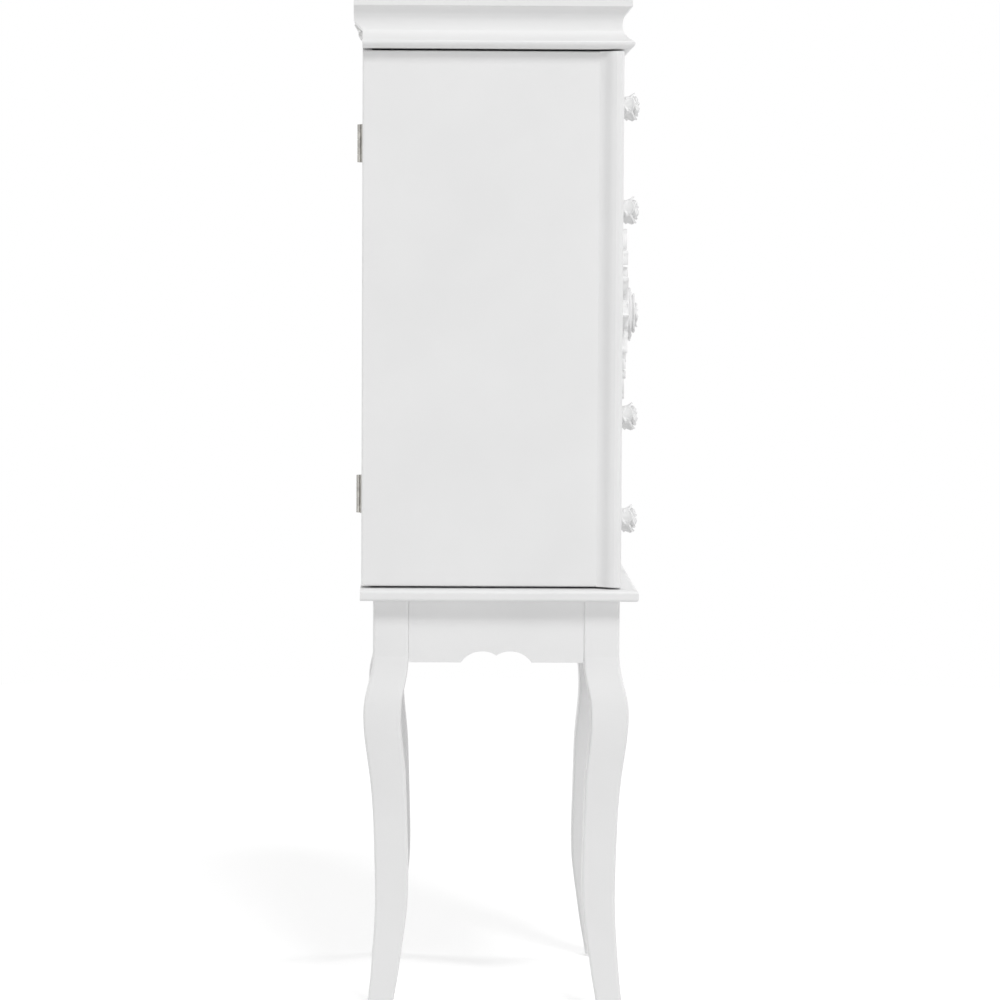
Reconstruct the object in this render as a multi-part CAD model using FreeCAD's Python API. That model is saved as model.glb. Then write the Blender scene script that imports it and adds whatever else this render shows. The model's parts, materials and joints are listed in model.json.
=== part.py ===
import FreeCAD, Part
import math
import os

# Jewelry cabinet: a case with a lift-up lid, two swinging side doors and five drawers, on cabriole legs.
# Millimetres. The floor is Z = 0, the front faces -Y, and depths are counted from the case's back plane.

Vec = FreeCAD.Vector

# Case
case_width = 360.0
case_depth = 248.0
case_height = 538.8
necklace_bay_depth = 40.0
partition_thickness = 12.0
back_thickness = 9.0
fit_gap = 0.5

# Base board
base_thickness = 12.0
base_side_overhang = 15.0
base_front_overhang = 14.5
base_back_overhang = 1.0
base_top_round = 5.0
base_bottom_round = 3.0

# Legs, aprons and what joins them
leg_height = 421.0
leg_block = 36.0
leg_round = 2.5
leg_sweep = 10.0
leg_side_inset = 17.0
leg_front_inset = 18.2
leg_back_inset = 13.0
leg_flare_height = 6.0
# Height up the curved foot, outward sweep of its centre and its width, from the aprons down to the floor.
leg_shares = (
    (1.000, 0.05, 1.005),
    (0.943, 0.36, 1.030),
    (0.895, 0.74, 1.050),
    (0.862, 0.84, 1.055),
    (0.824, 0.84, 1.045),
    (0.754, 0.63, 1.025),
    (0.684, 0.33, 1.000),
    (0.599, 0.12, 0.955),
    (0.432, -0.09, 0.935),
    (0.319, -0.12, 0.915),
    (0.246, 0.04, 0.870),
    (0.175, 0.30, 0.815),
    (0.102, 0.58, 0.770),
    (0.031, 0.93, 0.722),
    (0.000, 1.08, 0.710),
)
glide_radius = 9.0
glide_thickness = 4.0
apron_height = 63.0
apron_thickness = 15.0
apron_setback = 1.5
side_scallop_width = 71.0
front_scallop_width = 110.0
scallop_rise = 11.0
scallop_drop = 4.0
corner_block_reach = 40.0
corner_block_height = 34.0
leg_bolt_radius = 3.0
leg_bolt_bite = 16.0
leg_bolt_clearance = 0.1
bolt_head_radius = 6.0
bolt_head_thickness = 4.0

# Crown moulding under the lid
crown_height = 18.2
crown_front_overhang = 7.5
crown_side_overhang = 12.5
crown_cove_reach = 11.5
crown_back_width = 20.0
# Outward and upward along the moulding, as arcs: the cove, its nose, then the roll under it.
crown_shares = (
    (0.0, 1.0), (0.38, 0.66), (0.957, 0.42),
    (1.0, 0.33), (0.96, 0.22), (0.82, 0.10), (0.56, 0.0),
)

# Lid
lid_height = 35.0
lid_panel_thickness = 11.0
lid_setback = 2.6
lid_back_overhang = 8.8
lid_rail_width = 32.0
lid_edge_round = 1.5
# Outward and upward along the cove under the lid's fascia, as arcs.
lid_shares = ((0.0, 0.0), (-0.1, 0.3), (0.1, 0.6), (0.45, 0.85), (1.0, 1.0))
mirror_thickness = 4.0
mirror_gap = 1.0
bead_size = 6.0
bead_round = 4.0

# Tray under the lid
tray_floor_thickness = 6.0
tray_depth = 44.0
tray_rail_thickness = 10.0
divider_thickness = 4.0
divider_drop = 1.0
ring_roll_count = 7
ring_pad_length = 104.0
ring_pad_base = 10.0
ring_roll_rise = 11.0
soft_gap = 0.4

# Drawers
drawer_count = 5
drawer_gap = 2.0
drawer_front_thickness = 15.0
drawer_front_round = 3.0
drawer_side_gap = 1.5
drawer_headroom = 13.0
drawer_board = 9.0
drawer_bottom = 4.0
drawer_bottom_lift = 6.0
drawer_back_gap = 4.0
drawer_top_gap = 3.0
runner_width = 12.0
runner_height = 10.0
runner_gap = 0.3

# Rose knobs and their screws
knob_projection = 22.0
trim_lift = 3.5
knob_radius = 14.5
knob_petal_radius = 7.0
knob_bud_radius = 7.0
knob_stem_radius = 5.5
knob_foot_radius = 8.5
knob_foot_thickness = 3.0
petal_count = 5
screw_radius = 2.0
screw_hole_radius = 2.4
screw_bite = 8.0
screw_head_radius = 4.0
screw_head_thickness = 2.5
thread_gap = 0.05

# Carved ornament, sawn through at the drawer lines
ornament_rows_share = 1.65
ornament_width = 156.0
leaf_count = 12
leaf_width = 19.0
leaf_relief = 10.0
leaf_crown = 6.0
leaf_root_share = 0.55
short_leaf_share = 0.86
rose_radius = 29.0
rose_projection = 23.0
rose_petal_radius = 14.0
rose_bud_radius = 12.0
mound_radius = 25.0
mound_height = 6.0

# Doors
door_thickness = 15.0
door_gap = 2.0
door_round = 2.0
stile_thickness = 12.0
stile_lap = 5.0
stile_proud = 9.5
stile_round = 4.6
stile_lip = 12.5
stile_ogee = 17.0
# Outward and forward along the ogee between the door's face and its stile, as arcs.
stile_shares = ((0.0, 0.0), (0.19, 0.27), (0.5, 0.5), (0.81, 0.73), (1.0, 1.0))
stile_side_gap = 1.5

# Hinges of the doors and the lid
hinge_length = 38.0
hinge_leaf_width = 11.0
hinge_leaf_thickness = 1.2
knuckle_radius = 2.5
knuckle_count = 5
knuckle_gap = 0.25
pin_radius = 1.2
pin_clearance = 0.05
barrel_clearance = 0.3
door_hinge_inset = 73.0
lid_hinge_spread = 200.0
lid_bevel_degrees = 45.0

# Catches and necklace hooks
magnet_width = 12.0
magnet_depth = 11.0
magnet_height = 36.0
strike_thickness = 1.2
strike_gap = 0.3
hook_rail_height = 20.0
hook_rail_thickness = 8.0
hook_rail_drop = 36.0
hook_rail_inset = 22.0
hook_count = 6
hook_wire_radius = 1.6
hook_reach = 14.0
hook_lift = 8.0
hook_ball_radius = 2.4

overrun = 10.0

# Places that follow from the sizes above
half_case = case_width / 2
door_inner = half_case - door_thickness
partition_outer = door_inner - necklace_bay_depth
half_bay = partition_outer - partition_thickness
front_back = case_depth + fit_gap
face_depth = front_back + drawer_front_thickness
back_y = (face_depth + max(knob_projection, rose_projection) - lid_back_overhang) / 2
base_top = leg_height + base_thickness
crown_bottom = base_top + case_height
lid_bottom = crown_bottom + crown_height
lid_top = lid_bottom + lid_height
panel_bottom = lid_top - lid_panel_thickness
half_base = half_case + base_side_overhang
base_front = face_depth + base_front_overhang
front_root = face_depth + crown_front_overhang - crown_cove_reach
side_root = half_case + crown_side_overhang - crown_cove_reach
lid_cove_reach = crown_cove_reach - lid_setback
tray_front = case_depth - tray_rail_thickness
tray_floor_top = lid_bottom - tray_depth
tray_floor_bottom = tray_floor_top - tray_floor_thickness
row_pitch = (case_height - door_gap) / drawer_count
rows_bottom = base_top + door_gap / 2
ornament_height = row_pitch * ornament_rows_share
stile_inner = partition_outer - stile_lap
half_front = stile_inner - stile_side_gap
half_box = half_bay - drawer_side_gap
leg_x = half_base - leg_side_inset - leg_block / 2
leg_front = base_front - leg_front_inset - leg_block / 2
leg_back = leg_back_inset - base_back_overhang + leg_block / 2
apron_bottom = leg_height - apron_height
axis_offset = knuckle_radius + barrel_clearance
mirror_bottom = panel_bottom - mirror_thickness


def y_at(depth):
    """Y of a depth counted forward from the case's back plane."""
    return back_y - depth


def box(x0, x1, d0, d1, z0, z1):
    """Box between two X values, two depths and two heights."""
    return Part.makeBox(x1 - x0, d1 - d0, z1 - z0, Vec(x0, y_at(d1), z0))


def mirrored(shape):
    """The same shape on the cabinet's other side."""
    return shape.mirror(Vec(0, 0, 0), Vec(1, 0, 0))


def both_sides(shapes):
    """Right-hand shapes with their left-hand twins."""
    return [twin for shape in shapes for twin in (mirrored(shape), shape)]


def lines(points):
    """Chain of straight edges."""
    return [Part.LineSegment(a, b).toShape() for a, b in zip(points, points[1:])]


def arcs(points):
    """Chain of arcs through start, middle, end, middle, end and so on."""
    return [Part.Arc(*points[i:i + 3]).toShape() for i in range(0, len(points) - 2, 2)]


def face_of(edges):
    """Face inside a closed chain of edges."""
    return Part.Face(Part.Wire(Part.__sortEdges__(edges)))


def lies_at(edge, axis, value):
    """True where an edge lies whole at one value of an axis, 0 for X, 1 for Y and 2 for Z."""
    return all(math.isclose(vertex.Point[axis], value, abs_tol=fit_gap / 2) for vertex in edge.Vertexes)


def eased(shape, radius, chosen):
    """Shape with its chosen edges rounded."""
    return shape.makeFillet(radius, [edge for edge in shape.Edges if chosen(edge)])


def one(shape):
    """The single solid in the result of a cut or a join."""
    return shape.removeSplitter().Solids[0]


def save(name, solids):
    """Write one node: a solid, or a group of separate ones."""
    shape = solids[0] if len(solids) == 1 else Part.makeCompound(solids)
    shape.exportStep("parts/" + name + ".step")


def base_board():
    """Board under the case with a rounded edge on its front and sides."""
    board = box(-half_base, half_base, -base_back_overhang, base_front, leg_height, base_top)
    back = y_at(-base_back_overhang)
    board = eased(board, base_top_round, lambda e: lies_at(e, 2, base_top) and not lies_at(e, 1, back))
    return eased(board, base_bottom_round, lambda e: lies_at(e, 2, leg_height) and not lies_at(e, 1, back))


def rounded_square(x, y, z, side):
    """Outline of a leg's section: a square with rounded corners."""
    half = side / 2
    flat = half - leg_round
    bulge = flat + leg_round * math.sqrt(0.5)
    edges = []
    for k in range(4):
        turn = FreeCAD.Rotation(Vec(0, 0, 1), k * 90)
        spots = [Vec(half, -flat, 0), Vec(half, flat, 0), Vec(bulge, bulge, 0), Vec(flat, half, 0)]
        spots = [turn.multVec(spot) + Vec(x, y, z) for spot in spots]
        edges += lines(spots[:2]) + arcs(spots[1:])
    return Part.Wire(Part.__sortEdges__(edges))


def leg_corner(front):
    """Inner corner of a right-hand leg's block, and the two ways from there into the cabinet."""
    depth = leg_front if front else leg_back
    way = 1 if front else -1
    return Vec(leg_x - leg_block / 2, y_at(depth) + way * leg_block / 2, 0), Vec(-1, 0, 0), Vec(0, way, 0)


def leg(front):
    """Right-hand cabriole leg: a square block on a curved, tapering foot, flat where the aprons meet it."""
    y = y_at(leg_front if front else leg_back)
    way = -1 if front else 1
    block_bottom = apron_bottom + leg_flare_height
    top = rounded_square(leg_x, y, block_bottom, leg_block)
    sections = [top]
    for height_share, sweep_share, width_share in leg_shares:
        sweep = leg_sweep * sweep_share
        z = glide_thickness + (apron_bottom - glide_thickness) * height_share
        sections.append(rounded_square(leg_x + sweep, y + way * sweep, z, leg_block * width_share))
    block = Part.Face(top).extrude(Vec(0, 0, leg_height - block_bottom))
    shape = block.fuse(Part.makeLoft(sections, True, False))
    corner = leg_corner(front)[0]
    spot = Vec(corner.x - leg_block, y - leg_block, apron_bottom)
    beside = Part.makeBox(leg_block, 2 * leg_block, apron_height, spot)
    spot = Vec(leg_x - leg_block, corner.y if front else corner.y - leg_block, apron_bottom)
    behind = Part.makeBox(2 * leg_block, leg_block, apron_height, spot)
    return one(shape.cut(beside).cut(behind).cut(bolt_hole(front)))


def foot_glide(front):
    """Nail-on glide under a leg."""
    way = -1 if front else 1
    sweep = leg_sweep * leg_shares[-1][1]
    centre = Vec(leg_x + sweep, y_at(leg_front if front else leg_back) + way * sweep, 0)
    return Part.makeCylinder(glide_radius, glide_thickness, centre)


def bolt_place(front):
    """Where a leg bolt leaves the leg's corner, and its direction into the cabinet."""
    corner, across, along = leg_corner(front)
    return corner + Vec(0, 0, leg_height - corner_block_height / 2), (across + along).normalize()


def bolt_hole(front):
    """Room for a leg bolt through the corner block and into the leg."""
    start, way = bolt_place(front)
    radius = leg_bolt_radius + leg_bolt_clearance
    return Part.makeCylinder(radius, leg_bolt_bite + corner_block_reach, start - way * leg_bolt_bite, way)


def corner_block(front):
    """Glue block across the corner of two aprons, fitted round the leg."""
    corner, across, along = leg_corner(front)
    seat = leg_block - apron_setback - apron_thickness
    reach = corner_block_reach
    places = ((0, 0), (0, -seat), (reach, -seat), (-seat, reach), (-seat, 0), (0, 0))
    low = Vec(0, 0, leg_height - corner_block_height)
    points = [corner + across * a + along * b + low for a, b in places]
    block = face_of(lines(points)).extrude(Vec(0, 0, corner_block_height))
    return one(block.cut(bolt_hole(front)))


def leg_bolt(front):
    """Bolt that draws a leg into its corner block."""
    start, way = bolt_place(front)
    seat = leg_block - apron_setback - apron_thickness
    through = (corner_block_reach - seat) / math.sqrt(2)
    shank = Part.makeCylinder(leg_bolt_radius, leg_bolt_bite + through, start - way * leg_bolt_bite, way)
    side = way.cross(Vec(0, 0, 1))
    seat_point = start + way * through
    corners = []
    for k in range(7):
        angle = math.radians(60 * k)
        corners.append(seat_point + side * bolt_head_radius * math.cos(angle)
                       + Vec(0, 0, bolt_head_radius) * math.sin(angle))
    head = face_of(lines(corners)).extrude(way * bolt_head_thickness)
    return one(shank.fuse(head))


def apron(length, scallop_width):
    """Apron along X, its outer face on Y = 0, with a scalloped lower edge."""
    half = length / 2
    lobe = scallop_width / 2
    z = apron_bottom
    tip = Vec(0, 0, z + scallop_rise - scallop_drop)
    left = [Vec(-lobe, 0, z), Vec(-lobe / 2, 0, z + scallop_rise), tip]
    right = [tip, Vec(lobe / 2, 0, z + scallop_rise), Vec(lobe, 0, z)]
    top = [Vec(half, 0, leg_height), Vec(-half, 0, leg_height)]
    rim = [right[-1], Vec(half, 0, z)] + top + [Vec(-half, 0, z), left[0]]
    return face_of(arcs(left) + arcs(right) + lines(rim)).extrude(Vec(0, apron_thickness, 0))


def front_apron(front):
    """Apron between the two front legs or the two rear legs."""
    board = apron(2 * leg_x - leg_block, front_scallop_width)
    if front:
        board.translate(Vec(0, y_at(leg_front + leg_block / 2 - apron_setback), 0))
    else:
        board.rotate(Vec(0, 0, 0), Vec(0, 0, 1), 180)
        board.translate(Vec(0, y_at(leg_back - leg_block / 2 + apron_setback), 0))
    return board


def side_apron():
    """Apron between the front and rear legs of the right side."""
    board = apron(leg_front - leg_back - leg_block, side_scallop_width)
    board.rotate(Vec(0, 0, 0), Vec(0, 0, 1), 90)
    board.translate(Vec(leg_x + leg_block / 2 - apron_setback, y_at((leg_front + leg_back) / 2), 0))
    return board


def moulded_board(shares, reach, bottom, height, back_points):
    """Board whose front and side edges carry one moulding, mitred round the corners."""
    front = [Vec(-half_base, y_at(front_root + u * reach), bottom + w * height) for u, w in shares]
    back = [Vec(-half_base, y_at(depth), z) for depth, z in back_points]
    along = face_of(arcs(front) + lines([front[-1]] + back + [front[0]])).extrude(Vec(2 * half_base, 0, 0))
    rear = y_at(-lid_back_overhang - overrun)
    right = [Vec(side_root + u * reach, rear, bottom + w * height) for u, w in shares]
    left = [Vec(-point.x, point.y, point.z) for point in right]
    sides = arcs(right) + arcs(left) + lines([right[0], left[0]]) + lines([right[-1], left[-1]])
    return one(along.common(face_of(sides).extrude(Vec(0, y_at(base_front + overrun) - rear, 0))))


def frame_members(board, half_opening, back_depth, front_depth):
    """Front, back, left and right members of a moulded frame round an opening."""
    far = half_base + overrun
    front = box(-far, far, front_depth, base_front + overrun, crown_bottom, lid_top)
    back = box(-far, far, -lid_back_overhang - overrun, back_depth, crown_bottom, lid_top)
    right = box(half_opening, far, back_depth, front_depth, crown_bottom, lid_top)
    return [one(board.common(part)) for part in (front, back, mirrored(right), right)]


def crown_moulding():
    """Fixed frame that caps the case and carries the lid."""
    back = [(0, crown_bottom), (0, lid_bottom)]
    board = moulded_board(crown_shares, crown_cove_reach, crown_bottom, crown_height, back)
    return frame_members(board, half_bay, crown_back_width, tray_front)


def lid_moulding():
    """Frame under the lid's panel, bevelled at the back to clear the hinges."""
    bevel = lid_back_overhang / math.tan(math.radians(lid_bevel_degrees))
    back = [(-lid_back_overhang, panel_bottom), (-lid_back_overhang, lid_bottom + bevel), (0, lid_bottom)]
    board = moulded_board(lid_shares, lid_cove_reach, lid_bottom, panel_bottom - lid_bottom, back)
    return frame_members(board, *lid_opening())


def lid_opening():
    """Half width, back depth and front depth of the opening in the lid's frame."""
    return side_root - lid_rail_width, lid_rail_width - lid_back_overhang, front_root - lid_rail_width


def lid_panel():
    """Top board of the lid with eased upper edges."""
    half = side_root + lid_cove_reach
    board = box(-half, half, -lid_back_overhang, front_root + lid_cove_reach, panel_bottom, lid_top)
    return eased(board, lid_edge_round, lambda e: lies_at(e, 2, lid_top))


def mirror():
    """Looking glass inside the lid, face down when the lid is shut."""
    half, back, front = lid_opening()
    half -= mirror_gap
    return box(-half, half, back + mirror_gap, front - mirror_gap, mirror_bottom, panel_bottom)


def mirror_beads():
    """Four rounded strips that hold the glass in the lid's frame."""
    half, back, front = lid_opening()
    low = mirror_bottom - bead_size
    inner = half - bead_size
    near = front - bead_size
    rear = back + bead_size
    fore = box(-half, half, near, front, low, mirror_bottom)
    aft = box(-half, half, back, rear, low, mirror_bottom)
    right = box(inner, half, rear, near, low, mirror_bottom)
    fore = eased(fore, bead_round, lambda e: lies_at(e, 2, low) and lies_at(e, 1, y_at(near)))
    aft = eased(aft, bead_round, lambda e: lies_at(e, 2, low) and lies_at(e, 1, y_at(rear)))
    right = eased(right, bead_round, lambda e: lies_at(e, 2, low) and lies_at(e, 0, inner))
    return [fore, aft, mirrored(right), right]


def ring_pad():
    """Padded ring rolls in the tray: one cushion with a row of rounded channels."""
    back = back_thickness + soft_gap
    pitch = (tray_front - soft_gap - back) / ring_roll_count
    x = -half_bay + soft_gap
    low = tray_floor_top + soft_gap
    high = low + ring_pad_base
    crests = [Vec(x, y_at(back), high)]
    for k in range(ring_roll_count):
        crests.append(Vec(x, y_at(back + (k + 0.5) * pitch), high + ring_roll_rise))
        crests.append(Vec(x, y_at(back + (k + 1) * pitch), high))
    rim = [crests[-1], Vec(x, crests[-1].y, low), Vec(x, crests[0].y, low), crests[0]]
    return face_of(arcs(crests) + lines(rim)).extrude(Vec(ring_pad_length, 0, 0))


def tray_dividers():
    """Long divider beside the ring rolls and two short ones across the open half."""
    x = -half_bay + ring_pad_length + 2 * soft_gap
    top = crown_bottom - divider_drop
    boards = [box(x, x + divider_thickness, back_thickness, tray_front, tray_floor_top, top)]
    cell = (tray_front - back_thickness) / 3
    for k in (1, 2):
        middle = back_thickness + k * cell
        near = middle - divider_thickness / 2
        far = near + divider_thickness
        boards.append(box(x + divider_thickness, half_bay, near, far, tray_floor_top, top))
    return boards


def row_bottom(row):
    """Height of a drawer row's lower line, row 1 at the top."""
    return rows_bottom + (drawer_count - row) * row_pitch


def row_centre(row):
    """Height of the middle of a drawer row."""
    return row_bottom(row) + row_pitch / 2


def front_band(row):
    """Lower and upper edge of a drawer's front."""
    return row_bottom(row) + drawer_gap / 2, row_bottom(row) + row_pitch - drawer_gap / 2


def trim_height(row):
    """Height of the middle of a knob, or of the carving on the middle drawer."""
    return row_centre(row) + trim_lift


def screw_bore(row):
    """Hole for a knob's screw through a drawer's front."""
    start = Vec(0, y_at(front_back), trim_height(row))
    return Part.makeCylinder(screw_hole_radius, drawer_front_thickness, start, Vec(0, -1, 0))


def drawer_front(row, drilled):
    """Front of one drawer with rounded edges."""
    low, high = front_band(row)
    board = box(-half_front, half_front, front_back, face_depth, low, high)
    board = eased(board, drawer_front_round, lambda e: lies_at(e, 1, y_at(face_depth)))
    return one(board.cut(screw_bore(row))) if drilled else board


def runner_top(row):
    """Upper face of the two runners that carry a drawer."""
    return row_bottom(row) + drawer_gap / 2 + runner_height


def drawer_box(row):
    """Two sides, a back and a bottom behind a drawer's front."""
    low = runner_top(row) + runner_gap
    high = row_bottom(row) + row_pitch + drawer_gap / 2 - drawer_headroom
    if row == 1:
        high = tray_floor_bottom - drawer_top_gap
    rear = back_thickness + drawer_back_gap
    inner = half_box - drawer_board
    floor = low + drawer_bottom_lift
    side = box(inner, half_box, rear, front_back, low, high)
    back = box(-inner, inner, rear, rear + drawer_board, low, high)
    bottom = box(-inner, inner, rear + drawer_board, front_back, floor, floor + drawer_bottom)
    return both_sides([side]) + [back, bottom]


def drawer_runners():
    """Strips on the partitions that carry the drawers."""
    strips = []
    for row in range(1, drawer_count + 1):
        top = runner_top(row)
        low = top - runner_height
        strip = box(half_bay - runner_width, half_bay, back_thickness, tray_front, low, top)
        strips += both_sides([strip])
    return strips


def blossom(radius, projection, petal, bud):
    """Rose head on the plane Y = 0: a ring of petals round a bud that stands out to its projection."""
    head = Part.makeSphere(bud, Vec(0, bud - projection, 0))
    lift = projection - bud / 2 - petal
    for k in range(petal_count):
        angle = math.radians(90 + k * 360 / petal_count)
        out = radius - petal
        spot = Vec(out * math.cos(angle), -lift, out * math.sin(angle))
        head = head.fuse(Part.makeSphere(petal, spot))
    return head


def knob(row):
    """Rose knob on a short stem, with the screw that holds it."""
    foot = Vec(0, 0, 0)
    out = Vec(0, -1, 0)
    body = blossom(knob_radius, knob_projection, knob_petal_radius, knob_bud_radius)
    body = body.fuse(Part.makeCylinder(knob_stem_radius, knob_projection - knob_bud_radius, foot, out))
    body = body.fuse(Part.makeCylinder(knob_foot_radius, knob_foot_thickness, foot, out))
    body = one(body.cut(Part.makeCylinder(screw_radius + thread_gap, screw_bite, foot, out)))
    inside = Vec(0, y_at(front_back), trim_height(row))
    screw = Part.makeCylinder(screw_radius, drawer_front_thickness + screw_bite, inside, out)
    head = Part.makeCylinder(screw_head_radius, screw_head_thickness, inside, out * -1)
    return [body.translated(Vec(0, y_at(face_depth), trim_height(row))), one(screw.fuse(head))]


def leaf(length, width):
    """Pointed leaf along X with a crowned face, its back on Y = 0."""
    root = Vec(0, 0, 0)
    tip = Vec(length, 0, 0)
    half = length / 2
    rim = arcs([root, Vec(half, 0, width / 2), tip, Vec(half, 0, -width / 2), root])
    radius = (half ** 2 + leaf_crown ** 2) / (2 * leaf_crown)
    crown = Part.makeSphere(radius, Vec(half, radius - leaf_relief, 0))
    return face_of(rim).extrude(Vec(0, -leaf_relief, 0)).common(crown)


def ornament():
    """Carved rose in a wreath of leaves, one piece for each of the three drawers it crosses."""
    middle = (drawer_count + 1) // 2
    carving = blossom(rose_radius, rose_projection, rose_petal_radius, rose_bud_radius)
    carving = carving.fuse(Part.makeCylinder(mound_radius, mound_height, Vec(0, 0, 0), Vec(0, -1, 0)))
    for k in range(leaf_count):
        turn = k * 360 / leaf_count
        angle = math.radians(turn)
        reach = math.hypot(ornament_width / 2 * math.cos(angle), ornament_height / 2 * math.sin(angle))
        if k % 3:
            reach *= short_leaf_share
        root = rose_radius * leaf_root_share
        frond = leaf(reach - root, leaf_width)
        frond.rotate(Vec(0, 0, 0), Vec(0, 1, 0), -turn)
        frond.translate(Vec(root * math.cos(angle), 0, root * math.sin(angle)))
        carving = carving.fuse(frond)
    pieces = {}
    for row in (middle - 1, middle, middle + 1):
        low, high = (edge - trim_height(middle) for edge in front_band(row))
        corner = Vec(-half_front, -2 * rose_projection, low)
        band = Part.makeBox(2 * half_front, 2 * rose_projection, high - low, corner)
        place = Vec(0, y_at(face_depth), trim_height(middle))
        pieces[row] = [piece.translated(place) for piece in carving.common(band).Solids]
    return pieces


def door_panel():
    """Right-hand door's panel with eased outer edges."""
    panel = box(door_inner, half_case, 0, front_back, base_top + door_gap, crown_bottom - door_gap)
    front = y_at(front_back)
    return eased(panel, door_round, lambda e: lies_at(e, 0, half_case) and not lies_at(e, 1, front))


def door_stile():
    """Moulded board on the door's front edge: its proud outer edge is the finger pull."""
    outer = half_case + stile_proud
    front = front_back + stile_thickness
    low = base_top + door_gap
    back = front_back - stile_lip
    ogee = [Vec(half_case + u * stile_proud, y_at(back + v * stile_ogee), low) for u, v in stile_shares]
    nose = stile_round * (1 - math.sqrt(0.5))
    edge = [Vec(outer, y_at(front - stile_round), low), Vec(outer - nose, y_at(front - nose), low)]
    edge.append(Vec(outer - stile_round, y_at(front), low))
    inner = [Vec(stile_inner, y_at(front), low), Vec(stile_inner, y_at(front_back), low)]
    seat = [Vec(half_case, y_at(front_back), low), ogee[0]]
    straight = lines([ogee[-1], edge[0]]) + lines([edge[-1]] + inner + seat)
    section = face_of(arcs(ogee) + arcs(edge) + straight)
    return section.extrude(Vec(0, 0, crown_bottom - door_gap - low))


def hinge_leaf(side):
    """Leaf in the hinge's own frame: axis along Z, mounting face on Y = 0, plate towards side times X."""
    pitch = hinge_length / knuckle_count
    start = fit_gap / 2 if side > 0 else -hinge_leaf_width
    width = hinge_leaf_width - fit_gap / 2
    plate = Part.makeBox(width, hinge_leaf_thickness, hinge_length, Vec(start, 0, 0))
    for k in range(knuckle_count):
        spot = Vec(0, axis_offset, k * pitch)
        if (k % 2 == 1) == (side > 0):
            spot.z += knuckle_gap / 2
            plate = plate.fuse(Part.makeCylinder(knuckle_radius, pitch - knuckle_gap, spot))
        else:
            plate = plate.cut(Part.makeCylinder(axis_offset, pitch, spot))
    bore = Part.makeCylinder(pin_radius + pin_clearance, hinge_length, Vec(0, axis_offset, 0))
    return one(plate.cut(bore))


def hinge_pin():
    """Pin in the hinge's own frame."""
    return Part.makeCylinder(pin_radius, hinge_length, Vec(0, axis_offset, 0))


def on_door(piece):
    """Copies of a hinge piece at the right-hand door's lower and upper hinge."""
    low = base_top + door_gap + door_hinge_inset
    high = crown_bottom - door_gap - door_hinge_inset - hinge_length
    return [piece.translated(Vec(door_inner, back_y, z)) for z in (low, high)]


def on_lid(piece, tilt):
    """Copies of a hinge piece at the lid's two hinges, tilted about the hinge axis."""
    piece = piece.rotated(Vec(0, axis_offset, 0), Vec(0, 0, 1), tilt)
    piece = piece.rotated(Vec(0, 0, 0), Vec(0, 1, 0), -90)
    z = lid_bottom - axis_offset * math.tan(math.radians(lid_bevel_degrees / 2))
    spots = (-lid_hinge_spread / 2, lid_hinge_spread / 2)
    return [piece.translated(Vec(x + hinge_length / 2, back_y, z)) for x in spots]


def magnet():
    """Magnetic catch on the outside of the right-hand partition."""
    front = front_back - strike_thickness - strike_gap
    low = base_top + (case_height - magnet_height) / 2
    outer = partition_outer + magnet_width
    return box(partition_outer, outer, front - magnet_depth, front, low, low + magnet_height)


def strike_plate():
    """Steel plate on the right-hand door's stile that the magnet holds."""
    low = base_top + (case_height - magnet_height) / 2
    back = front_back - strike_thickness
    outer = partition_outer + magnet_width
    return box(partition_outer, outer, back, front_back, low, low + magnet_height)


def hook_rail():
    """Rail for necklaces on the inside of the right-hand door."""
    high = crown_bottom - door_gap - hook_rail_drop
    low = high - hook_rail_height
    inner = door_inner - hook_rail_thickness
    return box(inner, door_inner, hook_rail_inset, front_back - hook_rail_inset, low, high)


def necklace_hooks():
    """Wire hooks with ball ends along the right-hand door's rail."""
    x = door_inner - hook_rail_thickness
    z = crown_bottom - door_gap - hook_rail_drop - hook_rail_height / 2
    pitch = (front_back - 2 * hook_rail_inset) / hook_count
    hooks = []
    for k in range(hook_count):
        root = Vec(x, y_at(hook_rail_inset + (k + 0.5) * pitch), z)
        bend = root - Vec(hook_reach, 0, 0)
        hook = Part.makeCylinder(hook_wire_radius, hook_reach, root, Vec(-1, 0, 0))
        hook = hook.fuse(Part.makeSphere(hook_wire_radius, bend))
        hook = hook.fuse(Part.makeCylinder(hook_wire_radius, hook_lift, bend, Vec(0, 0, 1)))
        hook = hook.fuse(Part.makeSphere(hook_ball_radius, bend + Vec(0, 0, hook_lift)))
        hooks.append(one(hook))
    return hooks


def save_stand():
    """Base board, legs, aprons and the pieces that join them."""
    save("base_board", [base_board()])
    for place, front in (("front", True), ("rear", False)):
        shape = leg(front)
        save(place + "_right_leg", [shape])
        save(place + "_left_leg", [mirrored(shape)])
        save(place + "_apron", [front_apron(front)])
    save("right_apron", [side_apron()])
    save("left_apron", [mirrored(side_apron())])
    save("corner_blocks", both_sides([corner_block(True), corner_block(False)]))
    save("leg_bolts", both_sides([leg_bolt(True), leg_bolt(False)]))
    save("foot_glides", both_sides([foot_glide(True), foot_glide(False)]))


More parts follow.
